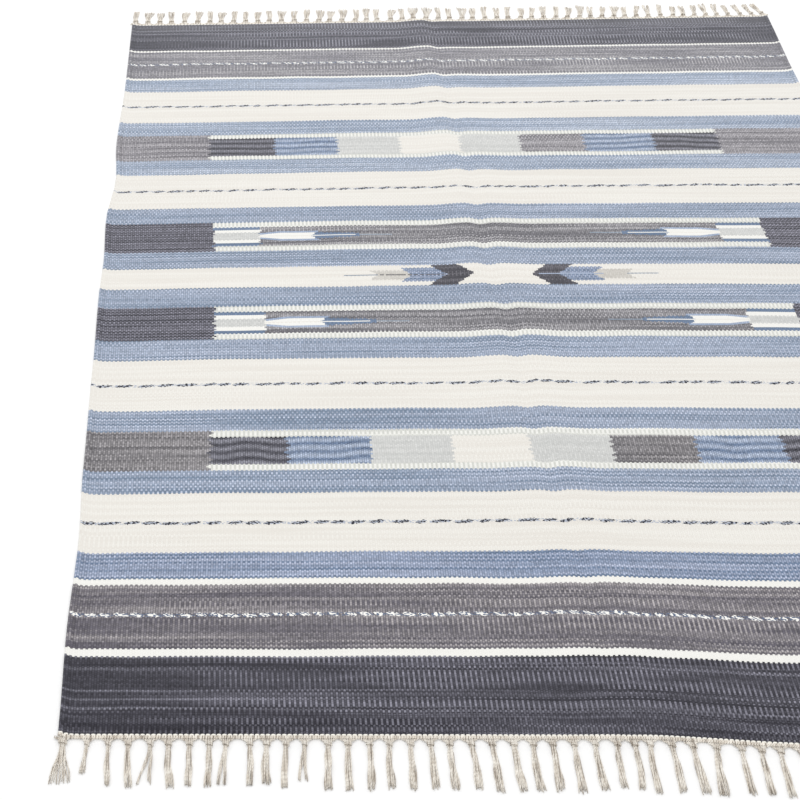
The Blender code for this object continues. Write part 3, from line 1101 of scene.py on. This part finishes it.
def tieTassel(bm, shapes, facts, draw):
    yarn, fray = shapes
    place, end, length, lean, bend = (facts[name] for name in ("place", "end", "length", "lean", "bend"))
    edge = lieAlong(place, endAlong(end)) + end * (fringe["endGap"] + fringe["headingDepth"])
    lift = creaseHeight(place, endAlong(end))
    growth = facts["growth"]
    radius = fringe["yarnRadius"]
    outwards = Vector((math.sin(lean), end * math.cos(lean), 0.0))
    beside = Vector((math.cos(lean), -end * math.sin(lean), 0.0))
    root = Vector((place, edge, 0.0))

    def point(reach, aside, height):
        share = reach / length
        floor = lift * max(0.0, 1.0 - share / fringe["restShare"])
        swing = bend * math.sin(math.pi * share)
        return root + outwards * reach + beside * aside + Vector((swing, 0.0, floor + height)) + rugPlace

    knotFrom, knotTo = fringe["knotFrom"], fringe["knotTo"]
    knotHalf = fringe["knotHalfWidth"] * fringe["knotPress"] * growth
    half = fringe["tasselHalf"] * growth * fringe["tasselPress"]
    count = round(fringe["yarns"] * growth)
    spread = facts["split"] + draw.uniform(*fringe["splayLoose"]) * max(facts["looseness"] - 0.3, 0.0)
    low, high = [radius * share for share in fringe["lie"]]
    stations = fringe["yarnStations"]
    for index in range(count):
        side = (index + 0.5) / count * 2.0 - 1.0
        layer = index % 2
        own = length * (1.0 - draw.uniform(0.0, fringe["shorter"]))
        phase = draw.uniform(0.0, math.tau)
        wave = draw.uniform(*fringe["wave"])
        splay = spread * side if spread > 0 else spread * (side < -0.1)
        path = []
        for station in range(stations):
            share = station / (stations - 1)
            reach = (own + fringe["tuckedIn"]) * share ** fringe["bunching"] - fringe["tuckedIn"]
            if reach < knotFrom:
                # the warps of one bundle leave the heading side by side and draw together
                gather = math.sin(math.pi / 2 * max(reach, 0.0) / knotFrom)
                aside = side * (fringe["rootHalf"] * growth ** 0.5 * (1.0 - gather) + knotHalf * gather)
                height = fringe["headingHeight"] * 0.5 + radius * 0.8 * (layer + 0.6) * gather
            elif reach < knotTo:
                aside = side * knotHalf
                height = fringe["knotHalfHeight"]
            else:
                past = reach - knotTo
                free = softStep(past / fringe["freeOver"])
                aside = side * (knotHalf * (1.0 - free) + half * free)
                aside += wave * math.sin(phase + past * fringe["waves"]) * free
                aside += (splay + side * 0.0012 * growth) * softStep(past / (own - knotTo)) ** 1.5
                climb = (0.5 + 0.5 * math.sin(phase + past * fringe["climbs"])) * (0.3 + 0.7 * layer)
                height = low + (high - low) * climb
            path.append(point(reach, aside, height))
        radii = [radius * draw.uniform(*fringe["radiusSpread"]) for _ in path]
        radii[-1] *= fringe["tipRadius"]
        layYarn(bm, yarn, path, radii)
        # the tip ends in a loose ply
        tip = path[-1]
        ahead = (tip - path[-2]).normalized()
        aim = ahead + beside * draw.uniform(*fringe["frayAside"])
        last = tip + aim * fringe["frayLong"] * draw.uniform(*fringe["frayShare"])
        last.z = radius * draw.uniform(*fringe["frayLift"])
        thins = [radius * share for share in fringe["frayThins"]]
        layYarn(bm, fray, [tip - ahead * 0.001, (tip + last) / 2, last], thins)

    # the knot: turns of the bundle round itself
    for index in range(fringe["knotTurns"]):
        path = []
        tilt = draw.uniform(*fringe["tilt"])
        for station in range(stations):
            angle = math.tau * station / (stations - 1) - math.pi / 2
            reach = knotFrom + (knotTo - knotFrom) * (index + 0.5) / fringe["knotTurns"]
            reach += tilt * math.cos(angle)
            aside = fringe["knotHalfWidth"] * growth * math.cos(angle)
            height = fringe["knotHalfHeight"] * (1.06 + math.sin(angle)) + radius * 0.4
            path.append(point(reach, aside, height))
        layYarn(bm, yarn, path, [radius * fringe["wrapRadius"]] * stations)


# rows of the heading, from the cloth outwards:
# depth, warps to a stitch, half sizes, slant, place along the yarn (whiter below nothing)
headingRows = [
    (0.16, 2, (0.0044, 0.0021, 0.0023), 0.10, -1.0),
    (0.46, 1, (0.0030, 0.0017, 0.0020), 0.45, 0.0),
    (0.74, 1, (0.0030, 0.0017, 0.0020), -0.45, 0.0),
]


def layHeading(bm, end):
    along = endAlong(end)
    left, right = sideEdge(along, -1), sideEdge(along, 1)
    for depth, warpsEach, halfSizes, slant, yarnPlace in headingRows:
        shape = bmesh.new()
        bmesh.ops.create_uvsphere(shape, u_segments=6, v_segments=4, radius=1.0)
        uvMap = shape.loops.layers.uv.new("yarnTurn")
        for face in shape.faces:
            for loop in face.loops:
                loop[uvMap].uv = (0.25, yarnPlace)
        stitch = keepMesh("stitch", shape)
        count = cloth["warps"] // warpsEach
        turned = Matrix.Rotation(slant * end, 3, "Z") @ Matrix.Diagonal(halfSizes)
        for index in range(count):
            across = left + (right - left) * (index + 0.5) / count
            middle = Vector((
                across,
                lieAlong(across, along) + end * (fringe["endGap"] + fringe["headingDepth"] * depth),
                creaseHeight(across, along) + fringe["headingHeight"] * 0.55,
            )) + rugPlace
            for vert in addShape(bm, stitch):
                vert.co = middle + turned @ vert.co
        bpy.data.meshes.remove(stitch)


def tieFringe(facts, material):
    loose = random.Random(facts["seed"] + 100)
    shapes = (yarnTemplate(fringe["yarnSides"], fringe["yarnStations"]), yarnTemplate(3, 3))
    bm = bmesh.new()
    bm.loops.layers.uv.new("yarnTurn")
    layHeading(bm, facts["end"])
    for tassel in layOutTassels(facts, random.Random(facts["seed"])):
        tieTassel(bm, shapes, tassel, loose)
    for template in shapes:
        bpy.data.meshes.remove(template)
    piece = finishPiece(facts["name"], bm, material)
    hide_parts(facts["node"])
    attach(piece, "root")
    print(facts["name"], len(piece.data.polygons), "faces")
    return piece


# Floor, light and camera

def layFloor():
    material, shader = startMaterial("paleFloor")
    feedAll(shader, {
        "Base Color": (0.93, 0.93, 0.93, 1.0),
        "Emission Color": (1.0, 1.0, 1.0, 1.0),
        "Emission Strength": 0.05,
        "Roughness": 0.9,
        "Specular IOR Level": 0.1,
    })
    bm = bmesh.new()
    bmesh.ops.create_grid(bm, x_segments=1, y_segments=1, size=15.0)
    mesh = keepMesh("floor", bm)
    mesh.materials.append(material)
    floor = addObject("floor", mesh)
    floor.location.z = -0.0002  # just clear of the cloth's underside


def setLight():
    world = bpy.data.worlds.new("softRoom")
    world.use_nodes = True
    feedAll(world.node_tree.nodes["Background"], {"Color": (1.0, 1.0, 1.0, 1.0), "Strength": 0.942})
    scene.world = world
    # name, place, where it aims, size in metres, power in watts
    lights = [
        ("softTop", (-1.2, 1.6, 3.4), (0.0, 0.0, 0.0), 3.0, 30.0),
        ("softBack", (1.6, 3.6, 1.8), (0.0, 0.3, 0.0), 2.4, 13.8),
    ]
    for name, place, aim, size, power in lights:
        lamp = bpy.data.lights.new(name, "AREA")
        lamp.size = size
        lamp.energy = power
        light = addObject(name, lamp)
        light.location = place
        light.rotation_euler = (Vector(aim) - Vector(place)).to_track_quat("-Z", "Y").to_euler()
    scene.view_settings.view_transform = "Standard"


# fitted to the bands, the selvedge and the near end as they show
view = {
    "place": (-0.518, -1.695, 2.073),  # in the rug's own measure
    "yaw": math.radians(4.90),  # turned to the right
    "pitch": math.radians(39.32),  # looking down
    "roll": math.radians(2.39),
    "lens": 76.63,
    "sensor": 36.0,
    "shift": 0.03,
}


def setCamera():
    yaw, pitch, roll = view["yaw"], view["pitch"], view["roll"]
    ahead = Vector((math.sin(yaw) * math.cos(pitch), math.cos(yaw) * math.cos(pitch), -math.sin(pitch)))
    level = Vector((math.cos(yaw), -math.sin(yaw), 0.0))
    upright = level.cross(ahead)
    right = level * math.cos(roll) + upright * math.sin(roll)
    up = upright * math.cos(roll) - level * math.sin(roll)
    lens = bpy.data.cameras.new("photoView")
    lens.lens = view["lens"]
    lens.sensor_width = view["sensor"]
    lens.shift_x = view["shift"]
    camera = addObject("photoView", lens)
    turn = Matrix((right, up, -ahead)).transposed().to_4x4()
    spot = Vector(view["place"]) + rugPlace + Vector((0.0, 0.0, cloth["thickness"]))
    camera.matrix_world = Matrix.Translation(spot) @ turn
    scene.camera = camera


field = weaveField()
cotton = cottonMaterial()
fringes = [tieFringe(facts, cotton) for facts in fringeEnds]
layFloor()
setLight()
setCamera()
print("floor, light and camera are set")
